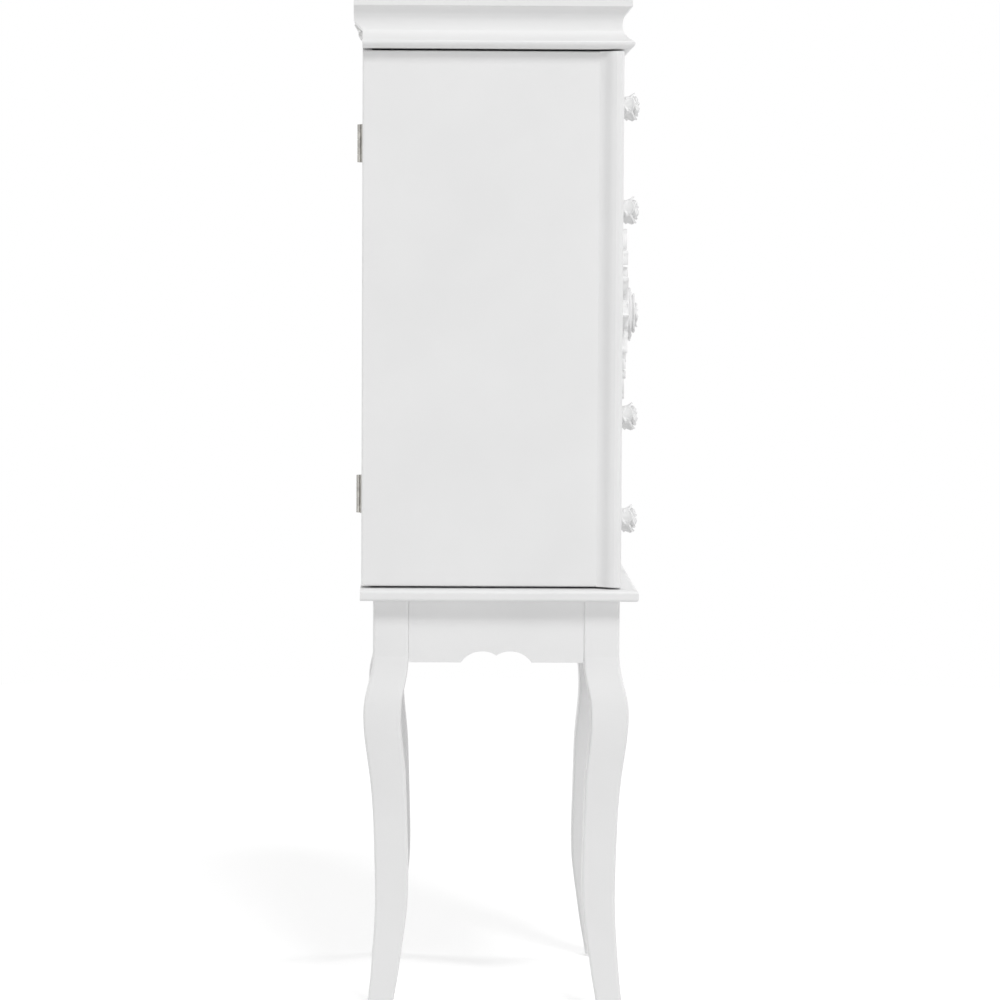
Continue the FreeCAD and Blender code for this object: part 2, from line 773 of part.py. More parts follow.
def save_case():
    """Fixed boards of the case, its tray, runners, catches and hinge halves."""
    partition = box(half_bay, partition_outer, back_thickness, case_depth, base_top, crown_bottom)
    save("right_partition", [partition])
    save("left_partition", [mirrored(partition)])
    half_back = door_inner - fit_gap
    save("back_panel", [box(-half_back, half_back, 0, back_thickness, base_top, crown_bottom)])
    low = tray_floor_bottom
    save("tray_floor", [box(-half_bay, half_bay, back_thickness, tray_front, low, tray_floor_top)])
    save("tray_front_rail", [box(-half_bay, half_bay, tray_front, case_depth, low, crown_bottom)])
    save("tray_dividers", tray_dividers())
    save("ring_pad", [ring_pad()])
    save("crown_moulding", crown_moulding())
    save("drawer_runners", drawer_runners())
    save("door_magnets", both_sides([magnet()]))
    save("door_hinge_case_leaves", both_sides(on_door(hinge_leaf(-1))))
    save("door_hinge_pins", both_sides(on_door(hinge_pin())))
    save("lid_hinge_case_leaves", on_lid(hinge_leaf(-1), 0))
    save("lid_hinge_pins", on_lid(hinge_pin(), 0))


def save_lid():
    """Everything that lifts with the lid."""
    save("lid_panel", [lid_panel()])
    save("lid_moulding", lid_moulding())
    save("lid_mirror", [mirror()])
    save("mirror_beads", mirror_beads())
    save("lid_hinge_leaves", on_lid(hinge_leaf(1), lid_bevel_degrees))


def save_doors():
    """Everything that swings with the two doors."""
    right = {
        "panel": [door_panel()],
        "stile": [door_stile()],
        "hinge_leaves": on_door(hinge_leaf(1)),
        "strike_plate": [strike_plate()],
        "hook_rail": [hook_rail()],
        "hooks": necklace_hooks(),
    }
    for name, solids in right.items():
        save("right_door_" + name, solids)
        save("left_door_" + name, [mirrored(solid) for solid in solids])


def save_drawers():
    """Fronts, boxes, knobs and the pieces of the ornament, drawer 1 at the top."""
    carving = ornament()
    middle = (drawer_count + 1) // 2
    for row in range(1, drawer_count + 1):
        name = "drawer_" + str(row)
        save(name + "_front", [drawer_front(row, row != middle)])
        save(name + "_box", drawer_box(row))
        if row != middle:
            save(name + "_knob", knob(row))
        if row in carving:
            save(name + "_carving", carving[row])


os.makedirs("parts", exist_ok=True)
save_stand()
save_case()
save_lid()
save_doors()
save_drawers()
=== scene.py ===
"""Jewelry cabinet on cabriole legs: white satin lacquer, rose knobs, a carved rose, velvet inside."""

import json
import logging
import math
from dataclasses import dataclass, field
from enum import Enum
from typing import Any, Iterable

import bmesh
import bpy
from mathutils import Matrix, Vector


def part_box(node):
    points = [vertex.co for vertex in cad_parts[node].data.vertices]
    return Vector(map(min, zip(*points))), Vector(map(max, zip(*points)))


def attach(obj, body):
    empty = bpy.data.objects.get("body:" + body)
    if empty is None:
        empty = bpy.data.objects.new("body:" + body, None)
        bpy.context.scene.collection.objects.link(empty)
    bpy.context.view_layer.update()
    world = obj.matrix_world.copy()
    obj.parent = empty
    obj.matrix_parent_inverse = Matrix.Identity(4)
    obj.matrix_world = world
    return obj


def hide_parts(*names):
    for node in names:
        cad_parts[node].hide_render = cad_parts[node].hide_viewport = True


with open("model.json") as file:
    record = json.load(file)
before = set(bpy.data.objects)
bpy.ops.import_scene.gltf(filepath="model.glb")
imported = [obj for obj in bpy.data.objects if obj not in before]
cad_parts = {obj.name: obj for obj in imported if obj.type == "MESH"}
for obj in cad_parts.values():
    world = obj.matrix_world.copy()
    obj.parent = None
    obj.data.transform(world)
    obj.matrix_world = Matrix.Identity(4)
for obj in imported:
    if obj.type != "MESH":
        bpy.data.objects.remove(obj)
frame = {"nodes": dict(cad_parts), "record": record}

LOG = logging.getLogger("jewelry_cabinet")
MM = 0.001
SHARP_ANGLE = math.radians(40)
EVEN = Vector((1, 1, 1))
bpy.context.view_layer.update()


class Slot(Enum):
    """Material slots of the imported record."""

    LACQUER = "white_lacquered_wood"
    NICKEL = "nickel_plated_steel"
    ENAMEL = "white_enamelled_steel"
    BRASS = "brass_wire"
    VELVET = "velvet"
    MIRROR = "mirror_glass"
    ZINC = "zinc_plated_steel"
    NYLON = "nylon"
    CATCH = "catch_plastic"


class Side(Enum):
    """Sides of the cabinet, seen from its front."""

    LEFT = -1
    RIGHT = 1


def linear(colour: str) -> tuple[float, float, float, float]:
    """Turn an sRGB hex value into linear light.

    Args:
        colour: Hex value such as "#E8E8E6".

    Returns:
        Linear red, green and blue with an alpha of 1.
    """
    parts = [int(colour[i:i + 2], 16) / 255 for i in (1, 3, 5)]
    light = [p / 12.92 if p <= 0.04045 else ((p + 0.055) / 1.055) ** 2.4 for p in parts]
    return light[0], light[1], light[2], 1.0


def add_node(
    tree: bpy.types.NodeTree, kind: str, inputs: dict[Any, Any], **settings: Any
) -> bpy.types.Node:
    """Add a node with its settings, its values and its links.

    Args:
        tree: Node tree that gets the node.
        kind: Node type, such as "ShaderNodeTexNoise".
        inputs: Socket names with a value, or with the output socket to link.
        **settings: Properties of the node itself.

    Returns:
        The new node.
    """
    node = tree.nodes.new(kind)
    for name, value in settings.items():
        setattr(node, name, value)
    for socket, value in inputs.items():
        if isinstance(value, bpy.types.NodeSocket):
            tree.links.new(value, node.inputs[socket])
        else:
            node.inputs[socket].default_value = value
    return node


@dataclass(frozen=True)
class Finish:
    """Base of every finish: a material made once and shared, its name unlike the frame's slots.

    Attributes:
        name: Real material and how its surface was made.
        colour: Main colour as sRGB hex.
        second: Colour that the main one drifts towards.
        roughness: Middle roughness of the surface.
        slot: Record slot that the finish belongs to.
    """

    name: str
    colour: str
    second: str
    roughness: float
    slot: Slot

    def material(self) -> bpy.types.Material:
        """Give the finish's material, making it the first time.

        Returns:
            The shared material.
        """
        made = bpy.data.materials.get(self.name)
        if made is None:
            made = bpy.data.materials.new(self.name)
            made.use_nodes = True
            made.node_tree.nodes.clear()
            self.lay(made.node_tree)
        return made

    def lay(self, tree: bpy.types.NodeTree) -> None:
        """Build the nodes of the finish in an empty tree."""
        raise NotImplementedError

    def noise(self, tree: bpy.types.NodeTree, size_mm: float, detail: float, stretch: Vector) -> Any:
        """Noise whose features have a real size.

        Args:
            tree: Node tree of the material.
            size_mm: Size of one feature in millimetres.
            detail: Octaves of finer noise on top.
            stretch: How far the features are drawn out along each axis.

        Returns:
            The noise's value socket.
        """
        place = add_node(tree, "ShaderNodeTexCoord", {})
        scale = Vector(1 / s for s in stretch)
        drawn = add_node(tree, "ShaderNodeMapping", {"Vector": place.outputs["Object"], "Scale": scale})
        inputs = {"Vector": drawn.outputs["Vector"], "Scale": 1 / (size_mm * MM), "Detail": detail}
        return add_node(tree, "ShaderNodeTexNoise", inputs).outputs["Fac"]

    def drift(self, tree: bpy.types.NodeTree, value: Any, low: float, high: float) -> Any:
        """Spread a noise value between two numbers.

        Args:
            tree: Node tree of the material.
            value: Noise socket.
            low: Result where the noise is low.
            high: Result where the noise is high.

        Returns:
            The result's socket.
        """
        ends = {"Value": value, "From Min": 0.3, "From Max": 0.7, "To Min": low, "To Max": high}
        return add_node(tree, "ShaderNodeMapRange", ends).outputs["Result"]

    def bump(self, tree: bpy.types.NodeTree, strength: float, depth_mm: float, height: Any) -> Any:
        """Surface pushed in and out by a height.

        Args:
            tree: Node tree of the material.
            strength: Share of the full effect.
            depth_mm: Depth of the relief in millimetres.
            height: Noise socket that gives the height.

        Returns:
            The normal's socket.
        """
        inputs = {"Strength": strength, "Distance": depth_mm * MM, "Height": height}
        return add_node(tree, "ShaderNodeBump", inputs).outputs["Normal"]

    def tone(self, tree: bpy.types.NodeTree, value: Any) -> Any:
        """Colour that drifts from the main one to the second.

        Args:
            tree: Node tree of the material.
            value: Noise socket that steers the drift.

        Returns:
            The colour socket.
        """
        share = self.drift(tree, value, 0.0, 1.0)
        mix = add_node(tree, "ShaderNodeMix", {"Factor": share}, data_type="RGBA")
        mix.inputs[6].default_value = linear(self.colour)
        mix.inputs[7].default_value = linear(self.second)
        return mix.outputs[2]

    def close(self, tree: bpy.types.NodeTree, inputs: dict[Any, Any]) -> None:
        """Finish the tree with a Principled shader and the output.

        Args:
            tree: Node tree of the material.
            inputs: Values and links of the Principled shader.
        """
        shader = add_node(tree, "ShaderNodeBsdfPrincipled", inputs)
        add_node(tree, "ShaderNodeOutputMaterial", {"Surface": shader.outputs["BSDF"]})


@dataclass(frozen=True)
class SatinLacquer(Finish):
    """White lacquer sprayed on primed board: a wide soft highlight over faint orange peel.

    Attributes:
        peel_mm: Spacing of the orange peel, drawn coarser than the real 1 mm so that it shows.
        cloud_mm: Size of the soft clouds where the coat is a little thicker.
    """

    peel_mm: float = 2.4
    cloud_mm: float = 85.0

    def lay(self, tree: bpy.types.NodeTree) -> None:
        """Clouded white with a satin sheen and a fine peel."""
        cloud = self.noise(tree, self.cloud_mm, 2.0, EVEN)
        peel = self.noise(tree, self.peel_mm, 1.0, EVEN)
        normal = self.bump(tree, 0.10, 0.15, peel)
        rough = self.drift(tree, cloud, self.roughness - 0.04, self.roughness + 0.05)
        inputs = {"Base Color": self.tone(tree, cloud), "Roughness": rough, "IOR": 1.49}
        self.close(tree, inputs | {"Normal": normal})


@dataclass(frozen=True)
class PlatedMetal(Finish):
    """Plated or polished metal with a fine brushed grain and patches of duller plating.

    Attributes:
        grain_mm: Width of the grain, drawn coarser than real so that it shows.
        grain_run: How many widths long the grain is.
        patch_mm: Size of the duller patches.
    """

    grain_mm: float = 0.5
    grain_run: float = 12.0
    patch_mm: float = 8.0

    def lay(self, tree: bpy.types.NodeTree) -> None:
        """Metal with grain along the cabinet's height."""
        grain = self.noise(tree, self.grain_mm, 2.0, Vector((1, 1, self.grain_run)))
        patch = self.noise(tree, self.patch_mm, 2.0, EVEN)
        normal = self.bump(tree, 0.12, 0.05, grain)
        rough = self.drift(tree, patch, self.roughness - 0.06, self.roughness + 0.10)
        inputs = {"Base Color": self.tone(tree, patch), "Roughness": rough, "Metallic": 1.0}
        self.close(tree, inputs | {"Normal": normal})


@dataclass(frozen=True)
class ShortPileVelvet(Finish):
    """Short pile velvet: brushed patches that turn light and dark, and a pale sheen at grazing view.

    Attributes:
        pile_mm: Spacing of the pile's tufts, drawn coarser than the real 0.3 mm so that it shows.
        stroke_mm: Size of the patches where the pile was brushed another way.
    """

    pile_mm: float = 0.8
    stroke_mm: float = 26.0

    def lay(self, tree: bpy.types.NodeTree) -> None:
        """Brushed pile with sheen."""
        stroke = self.noise(tree, self.stroke_mm, 3.0, Vector((1.6, 1, 1)))
        pile = self.noise(tree, self.pile_mm, 2.0, EVEN)
        normal = self.bump(tree, 0.5, 0.3, pile)
        inputs = {"Base Color": self.tone(tree, stroke), "Roughness": self.roughness, "IOR": 1.4,
                  "Sheen Weight": 0.7, "Sheen Roughness": 0.45, "Sheen Tint": linear("#EFE6DC")}
        self.close(tree, inputs | {"Normal": normal})


@dataclass(frozen=True)
class SilveredGlass(Finish):
    """Silvered float glass: a clean cold mirror with the faintest haze.

    Attributes:
        haze_mm: Size of the hazy patches.
    """

    haze_mm: float = 60.0

    def lay(self, tree: bpy.types.NodeTree) -> None:
        """Mirror with a slow drift of haze."""
        haze = self.noise(tree, self.haze_mm, 3.0, EVEN)
        rough = self.drift(tree, haze, self.roughness, self.roughness + 0.004)
        self.close(tree, {"Base Color": self.tone(tree, haze), "Roughness": rough, "Metallic": 1.0})


@dataclass(frozen=True)
class MouldedPlastic(Finish):
    """Injection-moulded plastic with a fine spark-eroded texture.

    Attributes:
        texture_mm: Size of the mould texture, drawn coarser than real so that it shows.
        cloud_mm: Size of the soft clouds of colour.
    """

    texture_mm: float = 0.7
    cloud_mm: float = 12.0

    def lay(self, tree: bpy.types.NodeTree) -> None:
        """Matt plastic with mould texture."""
        grit = self.noise(tree, self.texture_mm, 2.0, EVEN)
        cloud = self.noise(tree, self.cloud_mm, 2.0, EVEN)
        normal = self.bump(tree, 0.2, 0.1, grit)
        rough = self.drift(tree, grit, self.roughness - 0.05, self.roughness + 0.05)
        inputs = {"Base Color": self.tone(tree, cloud), "Roughness": rough, "IOR": 1.53}
        self.close(tree, inputs | {"Normal": normal})


LACQUER = SatinLacquer("white_satin_lacquer", "#EAEAEA", "#E7E7E7", 0.40, Slot.LACQUER)
NICKEL = PlatedMetal("brushed_nickel_plate", "#AEACA7", "#9C9A96", 0.34, Slot.NICKEL)
ENAMEL = SatinLacquer("white_baked_enamel", "#E8E8E7", "#E4E4E3", 0.33, Slot.ENAMEL, 1.6, 22.0)
BRASS = PlatedMetal("polished_brass_wire", "#D8B878", "#C7A360", 0.22, Slot.BRASS)
ZINC = PlatedMetal("bright_zinc_plate", "#B9BDC1", "#A4A8AE", 0.36, Slot.ZINC)
VELVET = ShortPileVelvet("taupe_cotton_velvet", "#A3958A", "#8C7E74", 0.95, Slot.VELVET)
MIRROR = SilveredGlass("silvered_float_glass", "#F0F3F2", "#EEF2F1", 0.012, Slot.MIRROR)
NYLON = MouldedPlastic("moulded_nylon", "#E4E3DE", "#DAD9D3", 0.50, Slot.NYLON)
CATCH = MouldedPlastic("moulded_white_abs", "#E2E2DE", "#DBDBD6", 0.45, Slot.CATCH)
ALL_FINISHES = (LACQUER, NICKEL, ENAMEL, BRASS, ZINC, VELVET, MIRROR, NYLON, CATCH)
FINISHES = {finish.slot.value: finish for finish in ALL_FINISHES}


def dress(obj: bpy.types.Object, finish: Finish) -> None:
    """Give an object one finish in all its material slots."""
    obj.data.materials.clear()
    obj.data.materials.append(finish.material())


def mesh_of(bm: bmesh.types.BMesh, name: str) -> bpy.types.Mesh:
    """Turn a bmesh drawn in millimetres into a mesh in metres.

    Args:
        bm: The bmesh, which is freed.
        name: Name of the mesh.

    Returns:
        The new mesh, shaded smooth between its sharp edges.
    """
    bmesh.ops.scale(bm, vec=(MM, MM, MM), verts=bm.verts)
    mesh = bpy.data.meshes.new(name)
    bm.to_mesh(mesh)
    bm.free()
    mesh.shade_smooth()
    mesh.set_sharp_from_angle(angle=SHARP_ANGLE)
    return mesh


def place(mesh: bpy.types.Mesh, body: str, finish: Finish) -> bpy.types.Object:
    """Put a finished mesh in the scene on the body that carries it.

    Args:
        mesh: Mesh in metres, in the cabinet's frame.
        body: Name of the body it rides on.
        finish: Finish that dresses it.

    Returns:
        The new object.
    """
    obj = bpy.data.objects.new(mesh.name, mesh)
    bpy.context.scene.collection.objects.link(obj)
    dress(obj, finish)
    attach(obj, body)
    LOG.info("%s: %d faces on %s", mesh.name, len(mesh.polygons), body)
    return obj


def moulded(mesh: bpy.types.Mesh, voxel: float, smooth: int) -> bpy.types.Mesh:
    """Melt overlapping shells into one skin, as paint and casting do.

    Args:
        mesh: Mesh in metres whose closed shells overlap.
        voxel: Finest feature that is kept, in millimetres.
        smooth: Rounds of smoothing.

    Returns:
        A new mesh with one closed skin.
    """
    holder = bpy.data.objects.new("holder", mesh)
    bpy.context.scene.collection.objects.link(holder)
    skin = holder.modifiers.new("skin", "REMESH")
    skin.mode = "VOXEL"
    skin.voxel_size = voxel * MM
    soft = holder.modifiers.new("soft", "SMOOTH")
    soft.factor = 0.5
    soft.iterations = smooth
    bpy.context.view_layer.update()
    shown = holder.evaluated_get(bpy.context.evaluated_depsgraph_get())
    result = bpy.data.meshes.new_from_object(shown)
    bpy.data.objects.remove(holder)
    result.name = mesh.name + "_skin"
    result.shade_smooth()
    return result


@dataclass(frozen=True)
class PetalRing:
    """One ring of petals round a rose's axis, in millimetres and degrees.

    Attributes:
        count: Petals in the ring.
        width: Greatest width of a petal.
        length: Length of a petal from foot to lip.
        root: Distance of the foot from the axis.
        rise: Height of the foot over the ground.
        lean: Lean from upright, where 90 lies flat.
        cup: How far the sides bend in towards the axis.
        curl: How far the lip rolls outwards.
        turn: Angle of the first petal.
    """

    count: int
    width: float
    length: float
    root: float
    rise: float
    lean: float
    cup: float
    curl: float
    turn: float

    def add_to(self, bm: bmesh.types.BMesh, thickness: float) -> None:
        """Add the ring's petals to a rose that opens along +Z.

        Args:
            bm: Bmesh of the rose.
            thickness: Thickness of a petal.
        """
        for k in range(self.count):
            angle = math.radians(self.turn + 360 * k / self.count)
            self.add_petal(bm, angle, thickness)

    def add_petal(self, bm: bmesh.types.BMesh, angle: float, thickness: float) -> None:
        """Shape one petal from a grid and set it on its place in the ring.

        Args:
            bm: Bmesh of the rose.
            angle: Direction of the petal round the axis, in radians.
            thickness: Thickness of the petal.
        """
        verts = bmesh.ops.create_grid(bm, x_segments=12, y_segments=12, size=1.0)["verts"]
        for vert in verts:
            across = vert.co.x
            up = (vert.co.y + 1) / 2
            half = self.width / 2 * (0.5 + 0.5 * math.sin(math.pi * (0.12 + 0.58 * up)))
            tip = 0.05 * max(0.0, 1 - 3 * abs(across)) * up ** 3
            height = self.length * (up - 0.26 * across * across * up * up + tip)
            bend = self.cup * across * across - self.curl * up ** 4
            vert.co = Vector((across * half, height, bend))
        radial = Vector((math.cos(angle), math.sin(angle), 0))
        lean = math.radians(self.lean)
        along = radial * math.sin(lean) + Vector((0, 0, math.cos(lean)))
        inward = Vector((0, 0, math.sin(lean))) - radial * math.cos(lean)
        tangent = along.cross(inward)
        seat = Matrix((tangent, along, inward)).transposed().to_4x4()
        seat.translation = radial * self.root + Vector((0, 0, self.rise))
        bmesh.ops.transform(bm, matrix=seat, verts=verts)
        bmesh.ops.solidify(bm, geom=faces_of(verts), thickness=thickness)


def faces_of(verts: Iterable[bmesh.types.BMVert]) -> list[bmesh.types.BMFace]:
    """Give the faces that touch any of the vertices."""
    return list({face for vert in verts for face in vert.link_faces})


def verts_in(geom: Iterable[Any]) -> list[bmesh.types.BMVert]:
    """Pick the vertices out of the elements that an operator gave back."""
    return [item for item in geom if isinstance(item, bmesh.types.BMVert)]


def add_turning(bm: bmesh.types.BMesh, profile: Iterable[tuple[float, float]]) -> None:
    """Turn a profile round +Z into a closed shape.

    Args:
        bm: Bmesh that gets the shape.
        profile: Radius and height of each point, from axis to axis.
    """
    points = [bm.verts.new((r, 0, z)) for r, z in profile]
    edges = [bm.edges.new(pair) for pair in zip(points, points[1:])]
    bmesh.ops.spin(bm, geom=points + edges, cent=(0, 0, 0), axis=(0, 0, 1), angle=2 * math.pi,
                   steps=40, use_merge=True)
    bmesh.ops.remove_doubles(bm, verts=bm.verts, dist=1e-4)
    bmesh.ops.recalc_face_normals(bm, faces=bm.faces)


def facing_front(x: float, y: float, z: float) -> Matrix:
    """Matrix that turns a shape opening along +Z to the front and sets its foot at a point."""
    return Matrix.Translation((x, y, z)) @ Matrix.Rotation(math.pi / 2, 4, "X")


def facing_back(x: float, y: float, z: float) -> Matrix:
    """Matrix that turns a shape opening along +Z to the back and sets its foot at a point."""
    return Matrix.Translation((x, y, z)) @ Matrix.Rotation(-math.pi / 2, 4, "X")


@dataclass(frozen=True)
class ScrewHead:
    """Domed screw head with a cross recess, in millimetres.

    Attributes:
        radius: Radius of the head.
        height: Height of the dome.
        recess: Depth of the cross.
        reach_share: Reach of the cross as a share of the radius.
        arm_share: Half the width of its arms as a share of the radius.
    """

    radius: float
    height: float
    recess: float
    reach_share: float = 0.62
    arm_share: float = 0.14

    def add_to(self, bm: bmesh.types.BMesh, seat: Matrix) -> None:
        """Add one head that stands on a seat and points along the seat's +Z.

        Args:
            bm: Bmesh that gets the head.
            seat: Place and direction of the head.
        """
        verts = bmesh.ops.create_grid(bm, x_segments=9, y_segments=9, size=1.0)["verts"]
        for vert in verts:
            x, y = vert.co.x, vert.co.y
            flat = Vector((x * math.sqrt(1 - y * y / 2), y * math.sqrt(1 - x * x / 2)))
            dome = self.height * (1 - 0.55 * flat.length_squared)
            vert.co = Vector((flat.x * self.radius, flat.y * self.radius, dome))
        faces = faces_of(verts)
        reach = self.reach_share * self.radius
        arm = self.arm_share * self.radius
        spots = {face: [abs(part) for part in face.calc_center_median().xy] for face in faces}
        cross = [face for face, spot in spots.items() if min(spot) < arm and max(spot) < reach]
        deep = verts_in(bmesh.ops.extrude_face_region(bm, geom=cross)["geom"])
        bmesh.ops.translate(bm, vec=(0, 0, -self.recess), verts=deep)
        bmesh.ops.delete(bm, geom=cross, context="FACES_ONLY")
        rim = [edge for edge in {e for v in verts for e in v.link_edges} if edge.is_boundary]
        foot = verts_in(bmesh.ops.extrude_edge_only(bm, edges=rim)["geom"])
        for vert in foot:
            vert.co.z = 0.0
        bmesh.ops.transform(bm, matrix=seat, verts=verts + deep + foot)


@dataclass
class RoseKnob:
    """Rose knob on a short stem with sepals under its petals, and the screw that holds it.

    Attributes:
        row: Drawer that carries it, counted from the top.
        thickness: Thickness of a petal.
        lift: Height of the knob over the middle of its drawer.
        voxel: Finest feature kept by the casting.
        screw: Head of the screw behind the drawer's front.
        stem: Foot, stem and heart of the flower as radius and height.
        rings: Rings of petals and sepals from the outside in.
    """

    row: int
    thickness: float = 2.0
    lift: float = 3.5
    voxel: float = 0.42
    screw: ScrewHead = ScrewHead(4.0, 2.4, 1.0)
    stem: tuple[tuple[float, float], ...] = (
        (0, 0), (8.6, 0), (8.8, 1.4), (7.8, 2.8), (8.4, 4.5), (10.2, 7.0),
        (11.4, 10.5), (11.0, 14.0), (7.5, 17.6), (0, 19.2),
    )
    rings: tuple[PetalRing, ...] = (
        PetalRing(5, 9.0, 8.5, 7.2, 2.6, 30, 1.0, 1.4, 54),
        PetalRing(5, 17.0, 13.6, 8.4, 4.2, 15, 3.2, 2.6, 90),
        PetalRing(5, 15.0, 12.6, 7.2, 7.0, 11, 3.2, 2.0, 54),
        PetalRing(4, 12.0, 10.6, 5.0, 10.2, 8, 3.0, 1.4, 20),
        PetalRing(3, 8.0, 9.6, 2.6, 12.0, 4, 2.6, 0.8, 75),
    )

    def head(self) -> bpy.types.Mesh:
        """Cast the flower in one skin.

        Returns:
            Mesh of the flower, opening along +Z.
        """
        bm = bmesh.new()
        add_turning(bm, self.stem)
        for ring in self.rings:
            ring.add_to(bm, self.thickness)
        return moulded(mesh_of(bm, f"rose_knob_{self.row}_petals"), self.voxel, 2)

    def build(self) -> None:
        """Set the knob on its drawer and its screw behind the front."""
        low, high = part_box(f"drawer_{self.row}_front")
        middle = (low.z + high.z) / 2 + self.lift * MM
        mesh = self.head()
        mesh.name = f"rose_knob_{self.row}"
        mesh.transform(facing_front(0, low.y, middle))
        knob = place(mesh, f"drawer_{self.row}", LACQUER)
        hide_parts(f"drawer_{self.row}_knob")
        bm = bmesh.new()
        self.screw.add_to(bm, facing_back(0, high.y / MM, middle / MM))
        place(mesh_of(bm, f"knob_screw_{self.row}"), f"drawer_{self.row}", ZINC)


@dataclass
class CarvedLeaf:
    """Carved leaf with lobed edges, a groove down its middle and a tip that curls up, in millimetres.

    Attributes:
        length: Length from root to tip.
        width: Greatest width between the lobes.
        root_height: Height of the relief at the root.
        crest: Height of the relief along the middle.
        tip_lift: How far the tip curls up at its end.
        sway: How far the tip bends to one side.
        lobes: Lobes along each edge.
        groove: Depth of the groove down the middle.
        vein: Depth of the cuts between the lobes.
        roll: How far the edges roll down.
        thinnest: Least height of the relief.
    """

    length: float
    width: float
    root_height: float
    crest: float
    tip_lift: float
    sway: float = 0.0
    lobes: int = 4
    groove: float = 1.7
    vein: float = 1.6
    roll: float = 2.4
    thinnest: float = 1.2

    def add_to(self, bm: bmesh.types.BMesh, root: float, angle: float, ground: float) -> None:
        """Add the leaf to a wreath round +Z.

        Args:
            bm: Bmesh of the wreath.
            root: Distance of the leaf's root from the axis.
            angle: Direction of the leaf, in radians.
            ground: Height of the leaf's underside.
        """
        verts = bmesh.ops.create_grid(bm, x_segments=44, y_segments=16, size=1.0)["verts"]
        for vert in verts:
            vert.co = self.surface((vert.co.x + 1) / 2, vert.co.y)
        low = verts_in(bmesh.ops.extrude_face_region(bm, geom=faces_of(verts))["geom"])
        for vert in low:
            vert.co.z = ground
        both = verts + low
        bmesh.ops.translate(bm, vec=(root, 0, 0), verts=both)
        bmesh.ops.rotate(bm, cent=(0, 0, 0), matrix=Matrix.Rotation(angle, 3, "Z"), verts=both)

    def surface(self, along: float, across: float) -> Vector:
        """Point on the leaf's carved face.

        Args:
            along: Share of the length from root to tip.
            across: Share of the half width, from -1 to 1.

        Returns:
            The point in the leaf's own frame.
        """
        lobe = abs(math.sin(math.pi * (self.lobes * along + 0.3))) ** 0.55
        half = self.width / 2 * math.sin(math.pi * along ** 0.85) ** 0.5 * (0.70 + 0.30 * lobe)
        edge = abs(across)
        swell = math.sin(math.pi * min(1.0, along * 1.15))
        spine = self.root_height + (self.crest - self.root_height) * swell
        lifted = max(0.0, (along - 0.62) / 0.38) ** 2
        dropped = 0.6 * max(0.0, along - 0.93) / 0.07
        curl = self.tip_lift * (lifted - dropped)
        groove = self.groove * math.exp(-(across / 0.14) ** 2) * math.sin(math.pi * min(1.0, along + 0.1))
        vein = self.vein * (1 - lobe) * edge
        roll = self.roll * edge ** 3 - 0.9 * math.sin(math.pi * edge)
        height = max(self.thinnest, spine + curl - groove - vein - roll)
        side = across * max(half, 0.25) + self.sway * along ** 2
        return Vector((self.length * along + 2.4 * edge * lobe * along * (1 - along), side, height))


